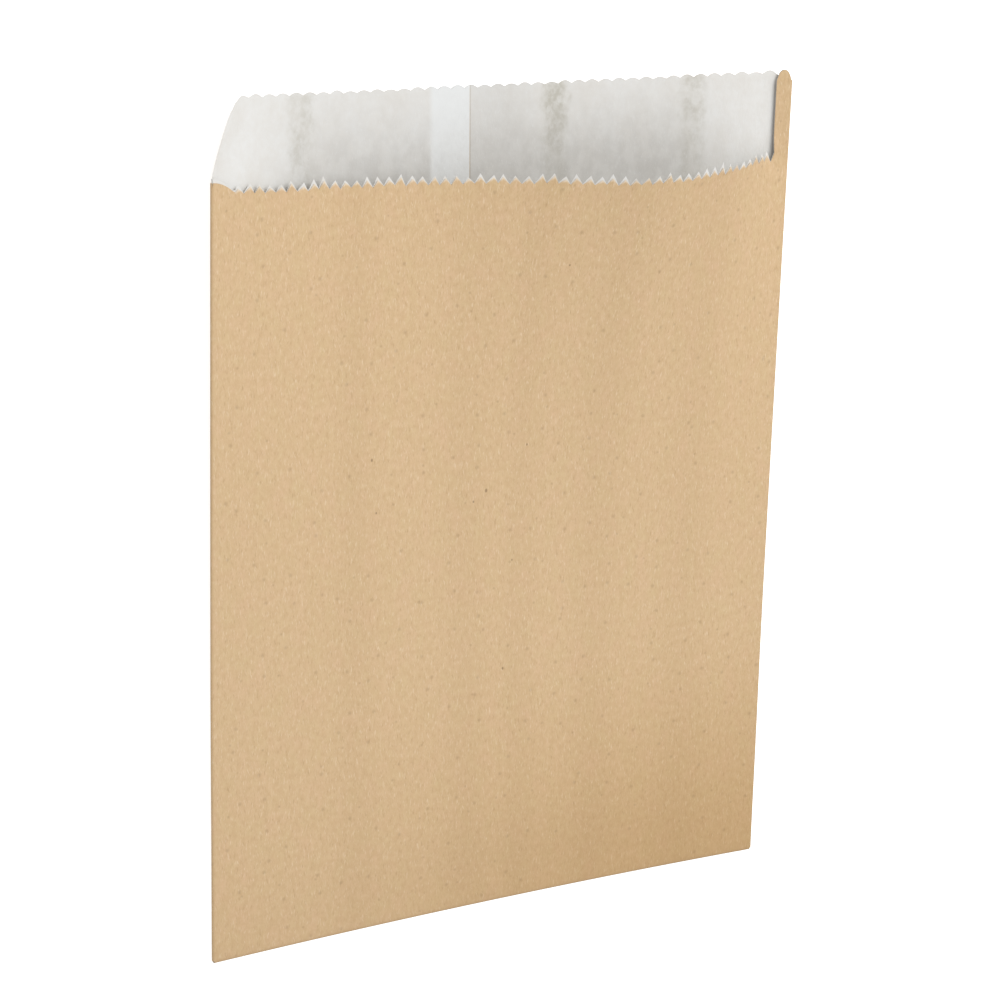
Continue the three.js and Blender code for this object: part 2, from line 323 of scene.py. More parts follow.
# %% Soft unevenness that handling has left in the front wall
hold_power = 1.5
pillow_height = 1.6 * MM
pillow_run = 30 * MM
pillow_fade = 150 * MM
ridge_rise_run = 40 * MM
ridge_fade_start = 150 * MM
ridge_fade_run = 60 * MM
ridge_fade = 0.6
pucker_place = -2.3 * MM
pucker_height = 0.5 * MM
pucker_width = 3 * MM
pucker_run = 9 * MM
# Each ridge's place, height and width in millimetres, and how much it leans
ridges = [
    (-46, 0.24, 5, 0.02),
    (-11, 0.3, 6, -0.03),
    (5, 0.22, 4, 0.01),
    (31, 0.28, 7, -0.02),
    (62, 0.2, 6, 0.02),
]


def handling(x, along):
    """Both plies of the front rise a little, and only up, because the back lies just under them."""
    u = np.clip(x / fold_x, -1, 1)
    held = (1 - u * u) ** hold_power
    foot = smoothstep(along / pillow_run) * (1 - smoothstep((along - pillow_run) / pillow_fade))
    rise = pillow_height * held * foot
    fade = 1 - ridge_fade * smoothstep((along - ridge_fade_start) / ridge_fade_run)
    body = smoothstep(along / ridge_rise_run) * fade
    for place, height, width, lean in ridges:
        off = (x - place * MM - lean * (along - lip_height / 2)) / (width * MM)
        rise = rise + height * MM * bell(off) * body * held
    pucker = bell((x - pucker_place) / pucker_width) * np.sin(math.pi * np.clip(along / pucker_run, 0, 1))
    return rise + pucker_height * pucker


# %% The opened mouth
ear_rest = 0.75
ear_rest_start = lip_root - 5 * MM
ear_rest_run = 14 * MM
ear_rest_width = 8 * MM
left_draw = 0.7 * MM
least_height = 1e-9


def front_bulge(x):
    """How far the front stands off the back at the lip."""
    u = np.clip(x / fold_x, -1, 1)
    return (1 - u * u) ** crease_hold * (even_rise + bulge_height * bell((u - bulge_place) / bulge_spread))


def opened(x, y, level, front):
    """From the flat, folded bag to the opened bag that lies on the floor."""
    u = np.clip(x / fold_x, -1, 1)
    up = np.maximum(y, 0)
    share = up / back_height
    lift = np.where(x < 0, left_fold_lift, right_fold_lift) * u * u * share ** fold_lift_taper
    sway = (1 - u * u) * (bottom_bow * (1 - share) ** 2 - mouth_dip * share ** 2)
    past_flap = smoothstep((up - flap_length - tooth_depth) / settle_run)
    settle = (floor_level - paper_thickness / 2) * past_flap
    beside_ear = smoothstep((x - ear_x + ear_rest_width) / ear_rest_width)
    held = 1 - ear_rest * smoothstep((up - ear_rest_start) / ear_rest_run) * beside_ear
    stand_off = front_bulge(x) * (np.minimum(up, shoulder) / lip_height) ** mouth_taper * held
    bulge = np.where(front, stand_off, 0)
    slope_loss = mouth_taper ** 2 / (4 * mouth_taper - 2)
    drawn = slope_loss * bulge ** 2 / np.maximum(up, least_height)
    height = level + floor_level - settle + lift + bulge + np.where(front, handling(x, up), 0)
    place_x = x + np.where(x < 0, left_draw * u * u * share, 0)
    return np.stack([place_x, y + sway - drawn - middle_y, height], -1)


# %% A place in the section of the wrapped tube
def section(wall, x, turn, depth):
    """x and level of a column, at a depth inside the kraft's middle surface."""
    raised = lap_raise * smoothstep((x - lap_left + lap_ease) / lap_ease)
    radius = fold_radius - depth
    fold = (wall == "left fold") | (wall == "right fold")
    place_x = np.where(fold, np.sign(x) * (fold_x + radius * np.cos(turn)), x)
    level = np.select(
        [wall == "start", wall == "front", fold],
        [raised + depth, front_level - depth + 0 * x, fold_radius + radius * np.sin(turn)],
        depth,
    )
    return place_x, level


def folded(wall, x, turn, along, depth, shift):
    """Points of the blank in the opened bag: up the wall, round the bottom or along the flap."""
    place_x, level = section(wall, x, turn, depth)
    radius = bottom_radius - depth
    angle = -along / bottom_radius
    on_wall, on_flap = along >= 0, -along >= bottom_run
    y = np.select([on_wall, on_flap], [along, -along - bottom_run], -radius * np.sin(angle))
    flap = bottom_centre - radius + 0 * level
    height = np.select([on_wall, on_flap], [level, flap], bottom_centre + radius * np.cos(angle))
    return opened(place_x + shift, y, height, (wall == "front") & on_wall)


# %% [markdown]
# ## Cutting and folding one sheet
#
# Each sheet starts as a grid primitive with one square for each cell of the blank. The squares
# outside the knife's outline are selected by their place and deleted in edit mode, the flat sheet's
# own measure becomes its UV map, so that the grain runs along the paper wherever it is folded, and
# the Solidify modifier gives it the paper's thickness.

# %% A sheet's rows, column by column
def sheet_rows(wall, x, ply):
    """How far along the blank each row lies in each column, and which columns reach the top."""
    front = wall == "front"
    ear = front & (x > ear_x - least_span)
    flap_teeth = tooth_depth * np.where(np.abs(x) < ear_foot_x, tooth_place(x)[1], 0)
    flap_edge = -(bottom_run + flap_length + flap_teeth)
    lip = np.where(front & ~ear, lip_outline(x, ply), shoulder)
    back = np.where(wall == "right fold", fold_top(ply), back_outline(x, ply))
    top = np.where(ear, ear_outline(x, ply), back)
    top = np.where(wall == "left fold", left_fold_height + ply.proud, top)
    flap = -bottom_run + (flap_edge + bottom_run) * flap_shares[:, None]
    fixed = np.concatenate([turn_rows, wall_rows])[:, None] + 0 * x
    band = band_start + (lip - band_start) * band_shares[:, None]
    above = lip + (np.maximum(top, lip + MM) - lip) * top_shares[:, None]
    return np.concatenate([flap, fixed, band, above]), ~front | ear


def grid_places(mesh, columns):
    """Column and row numbers of the grid's vertices, from their places in the unit square."""
    flat = np.empty(3 * len(mesh.vertices))
    mesh.vertices.foreach_get("co", flat)
    flat = flat.reshape(-1, 3) + 0.5
    column = np.rint(flat[:, 0] * (columns - 1)).astype(int)
    row = np.rint(flat[:, 1] * (row_count - 1)).astype(int)
    return column, row


def cut_away(sheet, columns, wall, x, reaches_top):
    """Deletes the grid's squares that lie outside the blank."""
    front = wall == "front"
    has_flap = front & (np.abs(x) < flap_x + least_span)
    bpy.ops.object.mode_set(mode="EDIT")
    bpy.ops.mesh.select_mode(type="FACE")
    bpy.ops.mesh.select_all(action="DESELECT")
    bpy.ops.object.mode_set(mode="OBJECT")
    for face in sheet.data.polygons:
        column = int((face.center.x + 0.5) * (columns - 1))
        row = int((face.center.y + 0.5) * (row_count - 1))
        pair = slice(column, column + 2)
        above = row >= lip_row and not reaches_top[pair].all()
        beside_flap = row < len(flap_shares) and not has_flap[pair].all()
        beside_turn = row < bottom_row and not front[pair].all()
        face.select = above or beside_flap or beside_turn
    bpy.ops.object.mode_set(mode="EDIT")
    bpy.ops.mesh.delete(type="FACE")
    bpy.ops.object.mode_set(mode="OBJECT")


# %% The blank's own measure as its UV map
def blank_places(wall, x, turn, column, along):
    """Where each vertex lies on the flat sheet: round the tube from its start, and along it."""
    edge_x, level = section(wall, x, turn, 0)
    steps = np.hypot(np.diff(edge_x), np.diff(level))
    run = np.concatenate([[0], np.cumsum(steps)]) + lap_right - x[0]
    return run[column], along + bottom_run + flap_length + tooth_depth


def map_blank(sheet, run, along):
    layer = sheet.data.uv_layers[0]
    layer.name = "blank"
    corners = np.empty(len(sheet.data.loops), int)
    sheet.data.loops.foreach_get("vertex_index", corners)
    layer.uv.foreach_set("vector", np.stack([run[corners], along[corners]], -1).ravel())


# %% Folding, with the bent and leaning teeth
def fold_blank(sheet, wall, x, turn, column, row, along, depth, ply):
    toothed = (wall == "front") & (x > smooth_lip_x) & (x < ear_foot_x)
    number, rise = tooth_place(x)
    into_band = np.clip((row - lip_row + len(band_shares)) / len(band_shares), 0, 1)
    swing = np.where(toothed, rise, 0)[column] * into_band
    shift = tooth_leans[number][column] * swing
    places = folded(wall[column], x[column], turn[column], along[row, column], depth, shift)
    places[:, 2] += ply.bend[number][column] * swing ** 2
    sheet.data.vertices.foreach_set("co", places.ravel())
    sheet.data.update()


# %% The torn edge of the lip, as an attribute that the kraft's colour reads
root_tear = 0.4


def mark_cut(sheet, x, at_lip):
    tips = root_tear + (1 - root_tear) * tooth_place(x)[1]
    cut_edge = sheet.data.attributes.new("cut edge", "FLOAT", "POINT")
    cut_edge.data.foreach_set("value", (at_lip * tips).astype(np.float32))


# %% Thickness, closed edges and smooth shading
crease_angle = math.radians(50)


def signed_volume(sheet):
    """Volume inside the sheet's faces, below nought where they point inwards."""
    sheet.data.calc_loop_triangles()
    places = np.empty(3 * len(sheet.data.vertices))
    sheet.data.vertices.foreach_get("co", places)
    corners = np.empty(3 * len(sheet.data.loop_triangles), int)
    sheet.data.loop_triangles.foreach_get("vertices", corners)
    a, b, c = places.reshape(-1, 3)[corners.reshape(-1, 3)].transpose(1, 0, 2)
    return float((a * np.cross(b, c)).sum() / 6)


def thicken(sheet):
    solid = sheet.modifiers.new("paper thickness", "SOLIDIFY")
    solid.thickness = paper_thickness
    solid.offset = 0
    solid.use_quality_normals = True
    bpy.ops.object.modifier_apply(modifier=solid.name)
    if signed_volume(sheet) < 0:
        bpy.ops.object.mode_set(mode="EDIT")
        bpy.ops.mesh.select_all(action="SELECT")
        bpy.ops.mesh.flip_normals()
        bpy.ops.object.mode_set(mode="OBJECT")
    bpy.ops.object.shade_smooth_by_angle(angle=crease_angle)
    faces = sum(len(face.vertices) - 2 for face in sheet.data.polygons)
    print(sheet.name, faces, "triangles, volume", round(signed_volume(sheet) * 1e9), "mm3")


# %% A whole sheet
def deselect_all():
    if bpy.context.object and bpy.context.object.mode != "OBJECT":
        bpy.ops.object.mode_set(mode="OBJECT")
    bpy.ops.object.select_all(action="DESELECT")


def make_sheet(name, depth, ply, start_x):
    """Adds the grid, cuts it to the blank, maps it flat, folds it and gives it its thickness."""
    wall, x, turn = tube_columns(start_x)
    columns = len(x)
    along, reaches_top = sheet_rows(wall, x, ply)
    deselect_all()
    bpy.ops.mesh.primitive_grid_add(x_subdivisions=columns - 1, y_subdivisions=row_count - 1, size=1)
    sheet = bpy.context.object
    sheet.name = sheet.data.name = name
    cut_away(sheet, columns, wall, x, reaches_top)
    column, row = grid_places(sheet.data, columns)
    map_blank(sheet, *blank_places(wall, x, turn, column, along[row, column]))
    fold_blank(sheet, wall, x, turn, column, row, along, depth, ply)
    mark_cut(sheet, x[column], (row == lip_row) & ~reaches_top[column])
    thicken(sheet)
    return sheet


# %% [markdown]
# ## The two sheets
#
# The kraft goes round the outside. The liner lies one ply inside it, is cut a little prouder and
# shows as white tips over the brown teeth. On the inside of the back the start of the web overlaps
# its end, and the kraft peeps out past the liner there as a hairline. One thick sheet with two
# colours would be quicker, but then no edge of the mouth would show two papers.

# %% Kraft and greaseproof sheets
kraft_peep = 0.15 * MM
kraft_ply = Ply(seed=12, proud=0, proud_swing=0.15 * MM, bends_mm=(0.0, 0.4))
liner_ply = Ply(seed=23, proud=liner_proud, proud_swing=0.8 * MM, bends_mm=(-0.1, 0.3))
kraft_sheet = make_sheet("kraft_sheet", 0, kraft_ply, lap_right + kraft_peep)
liner_sheet = make_sheet("liner_sheet", ply_pitch, liner_ply, lap_right)

# %% [markdown]
# ## Node helpers
#
# A paper's look is many faint things over each other: fibres, clouds, specks and glue. Each is a
# mask between 0 and 1, made once as a node group and placed with each paper's own values. The nodes
# could be placed by hand in the shader editor. The helpers below keep each step of a material to
# one line.

# %% Adding and linking nodes
def add_node(tree, kind, feeds=None, **settings):
    """A shader node with its settings, and its inputs set to values or linked to sockets."""
    node = tree.nodes.new("ShaderNode" + kind)
    for name, value in settings.items():
        setattr(node, name, value)
    for name, value in (feeds or {}).items():
        if isinstance(value, bpy.types.NodeSocket):
            tree.links.new(value, node.inputs[name])
        else:
            node.inputs[name].default_value = value
    return node


def calculate(tree, operation, *values):
    return add_node(tree, "Math", dict(enumerate(values)), operation=operation).outputs[0]


def distance(tree, value, centre):
    return calculate(tree, "ABSOLUTE", calculate(tree, "SUBTRACT", value, centre))


def ramp(tree, value, low, high, to_low=0.0, to_high=1.0):
    feeds = {"Value": value, "From Min": low, "From Max": high, "To Min": to_low, "To Max": to_high}
    return add_node(tree, "MapRange", feeds, interpolation_type="SMOOTHSTEP").outputs[0]


def split(tree, vector):
    return add_node(tree, "SeparateXYZ", {0: vector}).outputs


# %% Laying one colour over another
def blend_colour(tree, share, under, over, blend_type="MIX"):
    feeds = {0: share, 6: under, 7: over}
    return add_node(tree, "Mix", feeds, data_type="RGBA", blend_type=blend_type).outputs[2]


def tint(tree, colour, mask, share, over, blend_type="MIX"):
    """The colour with another over it where the mask is, by a share of that mask."""
    return blend_colour(tree, calculate(tree, "MULTIPLY", mask, share), colour, over, blend_type)


# %% Making and placing node groups
def start_group(name, inputs, outputs):
    """An empty group that takes a place and some numbers, and puts out masks."""
    tree = bpy.data.node_groups.new(name, "ShaderNodeTree")
    tree.interface.new_socket("place", in_out="INPUT", socket_type="NodeSocketVector")
    for label in inputs:
        tree.interface.new_socket(label, in_out="INPUT", socket_type="NodeSocketFloat")
    for label in outputs:
        tree.interface.new_socket(label, in_out="OUTPUT", socket_type="NodeSocketFloat")
    enter = tree.nodes.new("NodeGroupInput")
    leave = tree.nodes.new("NodeGroupOutput")
    return tree, enter.outputs, leave.inputs


def use_group(tree, group, **feeds):
    """The outputs of a group that is placed with the values or sockets given."""
    node = add_node(tree, "Group", node_tree=group)
    for name, value in feeds.items():
        socket = node.inputs[name.replace("_", " ")]
        if isinstance(value, bpy.types.NodeSocket):
            tree.links.new(value, socket)
        else:
            socket.default_value = value
    return node.outputs


# %% [markdown]
# ## Fibres, clouds, specks and stripes
#
# Fibres lie mostly along the web, because the wire that the pulp runs on pulls them that way.
# Noise that is squeezed across the web and stretched along it gives them. Clouds are the uneven
# pulp seen against the light. Specks are bits of bark, which the Voronoi texture scatters. Glue is
# rolled on in stripes along the web, and its mask is the distance from a line. A picture of paper
# would be the other way, but noise can be set to the right scale and never repeats.

# %% Fibres
fibre_turns = (-0.16, 0.12)
light_fibre = (0.6, 0.74)
dark_fibre = (0.4, 0.26)


def stretched(tree, place, across, along):
    """The place times the number of grains to a metre, across and along the web."""
    scale = add_node(tree, "CombineXYZ", {0: across, 1: along, 2: 1.0}).outputs[0]
    return add_node(tree, "VectorMath", {0: place, 1: scale}, operation="MULTIPLY").outputs[0]


def seeded_noise(tree, place, seed, detail, roughness):
    feeds = {"Vector": place, "W": seed, "Scale": 1.0, "Detail": detail, "Roughness": roughness}
    return add_node(tree, "TexNoise", feeds, noise_dimensions="4D").outputs["Fac"]


def make_fibres():
    inputs = ["width", "length", "seed"]
    tree, given, made = start_group("paper fibres", inputs, ["light", "dark", "height"])
    across = calculate(tree, "DIVIDE", 1.0, given["width"])
    along = calculate(tree, "DIVIDE", 1.0, given["length"])
    layers = []
    for angle in fibre_turns:
        feeds = {"Vector": given["place"], "Angle": angle}
        turned = add_node(tree, "VectorRotate", feeds, rotation_type="Z_AXIS").outputs[0]
        laid = stretched(tree, turned, across, along)
        layers.append(seeded_noise(tree, laid, given["seed"], detail=1.5, roughness=0.6))
    both = calculate(tree, "MULTIPLY", calculate(tree, "ADD", *layers), 0.5)
    tree.links.new(ramp(tree, calculate(tree, "MAXIMUM", *layers), *light_fibre), made["light"])
    tree.links.new(ramp(tree, calculate(tree, "MINIMUM", *layers), *dark_fibre), made["dark"])
    tree.links.new(both, made["height"])
    return tree


fibres = make_fibres()

# %% Clouds
cloud_range = (0.3, 0.7)


def make_clouds():
    inputs = ["size", "stretch", "seed"]
    tree, given, made = start_group("pulp clouds", inputs, ["cloud"])
    across = calculate(tree, "DIVIDE", 1.0, given["size"])
    along = calculate(tree, "DIVIDE", across, given["stretch"])
    laid = stretched(tree, given["place"], across, along)
    noise = seeded_noise(tree, laid, given["seed"], detail=3.0, roughness=0.55)
    tree.links.new(ramp(tree, noise, *cloud_range), made["cloud"])
    return tree


clouds = make_clouds()


# %% Specks
def make_specks():
    inputs = ["spacing", "size", "share"]
    tree, given, made = start_group("bark specks", inputs, ["speck"])
    scale = calculate(tree, "DIVIDE", 1.0, given["spacing"])
    feeds = {"Vector": given["place"], "Scale": scale}
    cells = add_node(tree, "TexVoronoi", feeds, voronoi_dimensions="2D").outputs
    reach = calculate(tree, "MULTIPLY", given["size"], scale)
    near = ramp(tree, cells["Distance"], reach, 0.0)
    chance = add_node(tree, "SeparateColor", {0: cells["Color"]}).outputs[0]
    kept = calculate(tree, "LESS_THAN", chance, given["share"])
    tree.links.new(calculate(tree, "MULTIPLY", near, kept), made["speck"])
    return tree


specks = make_specks()


# %% Stripes along the web
def make_stripe():
    inputs = ["centre", "half width", "softness", "wander"]
    tree, given, made = start_group("stripe along the web", inputs, ["stripe"])
    run = split(tree, given["place"])[0]
    feeds = {"Vector": given["place"], "Scale": 250.0, "Detail": 2.0}
    noise = add_node(tree, "TexNoise", feeds).outputs["Fac"]
    sway = calculate(tree, "MULTIPLY", calculate(tree, "SUBTRACT", noise, 0.5), given["wander"])
    straight = calculate(tree, "SUBTRACT", run, given["centre"])
    off = calculate(tree, "ABSOLUTE", calculate(tree, "ADD", straight, sway))
    inner = calculate(tree, "SUBTRACT", given["half width"], given["softness"])
    outer = calculate(tree, "ADD", given["half width"], given["softness"])
    tree.links.new(ramp(tree, off, outer, inner), made["stripe"])
    return tree


stripe = make_stripe()
print("groups:", [group.name for group in (fibres, clouds, specks, stripe)])

# %% [markdown]
# ## Where things lie round the web
#
# The UV map counts metres round the web from the lap's free edge, so a stripe that is seen at some
# place across the bag has to be turned into a distance round it. The two walls of the back and the
# front each have their own sum.

# %% From a place across the bag to a distance round the web
fold_length = math.pi * fold_radius
front_start = lap_right + fold_x + fold_length
end_start = front_start + 2 * fold_x + fold_length
left_fold_run = front_start - fold_length / 2
right_fold_run = end_start - fold_length / 2


def on_start_wall(x):
    return lap_right - x


def on_front(x):
    return front_start + x + fold_x


def on_end_wall(x):
    return end_start + fold_x - x


def blank_height(y):
    return y + bottom_run + flap_length + tooth_depth


print("web is", round((end_start + fold_x - lap_left) / MM, 1), "mm wide")

# %% [markdown]
# ## Kraft paper
#
# Kraft is unbleached, so it has the wood's own brown, with darker and lighter fibres that are a
# few millimetres long. Its surface is matt and faintly ribbed along the web. The fibres drive the
# colour, the roughness and a very low bump together, since on paper they are one and the same
# thing. One flat brown would look like plastic.

# %% Starting a paper's material, and its roughness and bump
lowest_relief = 0.3
highest_relief = 1.3


def start_material(name, piece):
    material = bpy.data.materials.new(name)
    material.use_nodes = True
    tree = material.node_tree
    piece.data.materials.clear()
    piece.data.materials.append(material)
    place = add_node(tree, "UVMap", uv_map="blank").outputs[0]
    return tree, place, tree.nodes["Principled BSDF"]


def finish_paper(tree, paper, heights, smooth, rough, relief):
    """Adds up the heights by their shares, for a bump and for a roughness between two values."""
    total = 0.0
    for height, share in heights:
        total = calculate(tree, "ADD", total, calculate(tree, "MULTIPLY", height, share))
    bump = add_node(tree, "Bump", {"Strength": 1.0, "Distance": relief, "Height": total})
    tree.links.new(bump.outputs[0], paper.inputs["Normal"])
    matt = ramp(tree, total, lowest_relief, highest_relief, smooth, rough)
    tree.links.new(matt, paper.inputs["Roughness"])


# %% Kraft's colours
kraft_colour = (0.708, 0.508, 0.304, 1)
kraft_dark = (0.470, 0.305, 0.160, 1)
kraft_light = (0.860, 0.690, 0.490, 1)
kraft_cloud = (0.630, 0.435, 0.245, 1)
kraft_pink = (0.720, 0.485, 0.305, 1)
kraft_olive = (0.660, 0.500, 0.270, 1)
# Painted shade, multiplied into the kraft towards the bottom and most on the right
kraft_low_shade = (0.84, 0.78, 0.67, 1)
torn_colour = (0.880, 0.800, 0.680, 1)
# Painted shade, multiplied into the ear
ear_shade = (0.93, 0.93, 0.92, 1)
speck_colour = (0.200, 0.120, 0.065, 1)

# %% How much each of kraft's marks shows
wide_cloud_share = 0.22
patch_share = 0.55
small_cloud_share = 0.7
streak_share = 0.10
coarse_share = 0.48
fine_share = 0.3
clear_share = 0.42
speck_share = 0.24
bark_share = 0.62
# The shares below, except the torn tips', are of painted shade
foot_shade_share = 0.1
bottom_turn_shade_share = 0.4
side_fold_shade_share = 0.25
torn_share = 0.7
left_low_shade_share = 0.15
kraft_gloss = 0.3

# %% Where the painted shade and the larger marks lie, and how softly they end
low_shade_centre = 80 * MM
low_shade_near = 10 * MM
low_shade_far = 150 * MM
low_shade_top = 84 * MM
low_shade_foot = -5 * MM
foot_shade_top = 26 * MM
turn_outer = 0.6 * MM
turn_inner = 0.3 * MM
fold_soft = 0.4 * MM
ear_soft = 2 * MM
ear_shade_foot = lip_root - 4 * MM
torn_at = 0.95
# Spacing and size of two kinds of speck
speck_kinds = [(8.5 * MM, 0.9 * MM), (12 * MM, 0.6 * MM)]
kept_specks = 0.5

# %% Dark bits on the front
bark_stretch = (1, 0.7, 1)
bark_rim = 1.3
bark_core = 0.5
# Each bit's place across, place up and size in millimetres
bark_bits = [
    (-41.1, 136.3, 0.34),
    (-39.7, 121.2, 0.26),
    (-5.5, 123.8, 0.42),
    (-9.5, 121.0, 0.28),
    (0.6, 70.5, 0.32),
    (15.3, 188.0, 0.24),
    (6.7, 136.1, 0.26),
    (3.1, 102.5, 0.24),
]


def bark_mask(tree, place):
    """The few dark bits that show on the front, each a small lengthwise oval."""
    mask = 0.0
    for x, y, size in bark_bits:
        centre = (on_front(x * MM), blank_height(y * MM), 0)
        away = add_node(tree, "VectorMath", {0: place, 1: centre}, operation="SUBTRACT").outputs[0]
        oval = add_node(tree, "VectorMath", {0: away, 1: bark_stretch}, operation="MULTIPLY").outputs[0]
        reach = add_node(tree, "VectorMath", {0: oval}, operation="LENGTH").outputs["Value"]
        bit = ramp(tree, reach, bark_rim * size * MM, bark_core * size * MM)
        mask = calculate(tree, "MAXIMUM", mask, bit)
    return mask


# %% Painted shade in the folds, on the ear and at the foot, and the torn tips
def fold_shade_mask(tree, run, along):
    """Painted shade along the bottom's turn and the two side folds."""
    half_turn = bottom_run / 2
    from_turn = distance(tree, along, blank_height(-half_turn))
    ends = (half_turn + turn_outer, half_turn - turn_inner)
    mask = ramp(tree, from_turn, *ends, 0.0, bottom_turn_shade_share)
    half_fold = fold_length / 2
    for fold_run in (left_fold_run, right_fold_run):
        from_fold = distance(tree, run, fold_run)
        ends = (half_fold + fold_soft, half_fold - fold_soft)
        line = ramp(tree, from_fold, *ends, 0.0, side_fold_shade_share)
        mask = calculate(tree, "MAXIMUM", mask, line)
    return mask


def ear_shade_mask(tree, run, along):
    """Painted shade that darkens the ear."""
    inside = ramp(tree, distance(tree, run, on_front(fold_x)), ear_width + ear_soft, ear_width)
    above = ramp(tree, along, blank_height(ear_shade_foot), blank_height(shoulder))
    return calculate(tree, "MULTIPLY", inside, above)


def add_kraft_marks(tree, place, colour):
    for spacing, size in speck_kinds:
        feeds = {"spacing": spacing, "size": size, "share": kept_specks}
        tiny = use_group(tree, specks, place=place, **feeds)["speck"]
        colour = tint(tree, colour, tiny, speck_share, speck_colour)
    colour = tint(tree, colour, bark_mask(tree, place), bark_share, speck_colour)
    # Painted shade: the kraft darkens towards the bottom, most towards the right
    run, along, _ = split(tree, place)
    from_right = distance(tree, run, on_front(low_shade_centre))
    right = ramp(tree, from_right, low_shade_far, low_shade_near, left_low_shade_share, 1.0)
    low = ramp(tree, along, blank_height(low_shade_top), blank_height(low_shade_foot))
    colour = tint(tree, colour, low, right, kraft_low_shade, "MULTIPLY")
    # Painted shade along the bottom edge, darker the lower it lies
    foot = ramp(tree, along, blank_height(foot_shade_top), blank_height(0.0))
    colour = tint(tree, colour, foot, foot_shade_share, kraft_dark)
    # Painted shade in the bottom's turn and the side folds
    colour = blend_colour(tree, fold_shade_mask(tree, run, along), colour, kraft_dark)
    # Painted shade on the ear
    colour = blend_colour(tree, ear_shade_mask(tree, run, along), colour, ear_shade, "MULTIPLY")
    cut_edge = add_node(tree, "Attribute", attribute_name="cut edge").outputs["Fac"]
    torn = ramp(tree, cut_edge, root_tear, torn_at, 0.0, torn_share)
    return blend_colour(tree, torn, colour, torn_colour)


# %% Kraft material
# Each streak's place across the bag and half width in millimetres
kraft_streaks = [(-46, 5), (-11, 6), (6, 4), (31, 6), (61, 7)]
streak_wander = 0.004


def make_kraft(piece):
    tree, place, paper = start_material("brown kraft paper", piece)
    wide = use_group(tree, clouds, place=place, size=0.030, stretch=2.5, seed=2.0)["cloud"]
    small = use_group(tree, clouds, place=place, size=0.0016, stretch=1.25, seed=5.0)["cloud"]
    colour = tint(tree, kraft_colour, wide, wide_cloud_share, kraft_cloud)
    for seed, patch_colour in ((12.0, kraft_pink), (15.0, kraft_olive)):
        patch = use_group(tree, clouds, place=place, size=0.0055, stretch=1.5, seed=seed)["cloud"]
        colour = tint(tree, colour, patch, patch_share, patch_colour)
    colour = tint(tree, colour, small, small_cloud_share, kraft_cloud)
    for x, half in kraft_streaks:
        feeds = {"centre": on_front(x * MM), "half_width": half * MM, "softness": half * MM}
        line = use_group(tree, stripe, place=place, wander=streak_wander, **feeds)["stripe"]
        colour = tint(tree, colour, line, streak_share, kraft_dark)
    coarse = use_group(tree, fibres, place=place, width=0.00045, length=0.0028, seed=1.0)
    fine = use_group(tree, fibres, place=place, width=0.00022, length=0.0013, seed=7.0)
    clear = use_group(tree, fibres, place=place, width=0.0006, length=0.0022, seed=31.0)
    for group, share in ((coarse, coarse_share), (fine, fine_share), (clear, clear_share)):
        colour = tint(tree, colour, group["dark"], share, kraft_dark)
        colour = tint(tree, colour, group["light"], share, kraft_light)
    colour = add_kraft_marks(tree, place, colour)
    tree.links.new(colour, paper.inputs["Base Color"])
    paper.inputs["Specular IOR Level"].default_value = kraft_gloss
    heights = [(coarse["height"], 0.5), (fine["height"], 0.5), (small, 0.6)]
    finish_paper(tree, paper, heights, smooth=0.74, rough=0.88, relief=0.05 * MM)
    print("kraft nodes:", len(tree.nodes))


make_kraft(kraft_sheet)

# %% [markdown]
# ## Greaseproof paper
#
# The liner is bleached and beaten so fine that it is half clear. Where it lies on the kraft the
# brown shows through in clouds, where glue has wetted it the brown is plain, and where two layers
# lap it is its own bluish white. Real transparency would need many more samples, so the brown is
# mixed into its colour. It is smoother than kraft and has a faint sheen.

# %% Greaseproof's colours
liner_colour = (0.800, 0.795, 0.775, 1)
liner_lap = (0.800, 0.818, 0.820, 1)
kraft_through = (0.640, 0.590, 0.520, 1)
# Grey for the painted shade towards the lip, and for the band beside the lap
liner_grey = (0.475, 0.458, 0.428, 1)
# Painted shadow in the right fold, beside the ear
liner_fold_shadow = (0.300, 0.255, 0.200, 1)
glue_brown = (0.510, 0.485, 0.415, 1)
lap_shadow = (0.380, 0.330, 0.260, 1)

# %% How much each of its marks shows
wide_through_share = 0.3
small_through_share = 0.15
lap_soft = 1.3 * MM
lap_share = 0.85
# Share of the painted shade towards the lip that is kept on the lap
lap_lip_shade_share = 0.6
beside_lap_share = 0.25
# Share of the painted shadow in the right fold
fold_shadow_share = 0.7
dark_fibre_share = 0.1
light_fibre_share = 0.3

# %% Glue, in three stripes whose strengths differ
glue_dry = 0.4
glue_wet = 0.85
blot_range = (0.1, 0.9)
mottle_range = (0.2, 0.8)
glue_mottle = (0.7, 1.15)
# Each stripe's place round the web and its strength
glue_stripes = [
    (on_start_wall(-62 * MM), 0.6),
    (on_end_wall(17.5 * MM), 1.15),
    (on_end_wall(60 * MM), 0.7),
]


def add_glue(tree, place, colour, blots, small):
    for centre, strength in glue_stripes:
        feeds = {"centre": centre, "half_width": 0.0035, "softness": 0.002, "wander": 0.004}
        line = use_group(tree, stripe, place=place, **feeds)["stripe"]
        wetted = ramp(tree, blots, *blot_range, glue_dry * strength, glue_wet * strength)
        mottled = ramp(tree, small, *mottle_range, *glue_mottle)
        patchy = calculate(tree, "MULTIPLY", calculate(tree, "MULTIPLY", line, wetted), mottled)
        colour = blend_colour(tree, patchy, colour, glue_brown)
    return colour


# %% Painted shade towards the lip, the lines beside the lap, and painted shadow in the fold
lip_shade_edge = 82 * MM
lip_shade_core = 46 * MM
lip_shade_at_back_edge = 0.2
lip_shade_at_lip = 0.8
lip_shade_between_blots = 0.75
band_offset = 8 * MM
line_offset = 0.2 * MM
line_shares = (0.35, 0.8)
fold_shadow_ends = (5.7 * MM, 4.0 * MM)


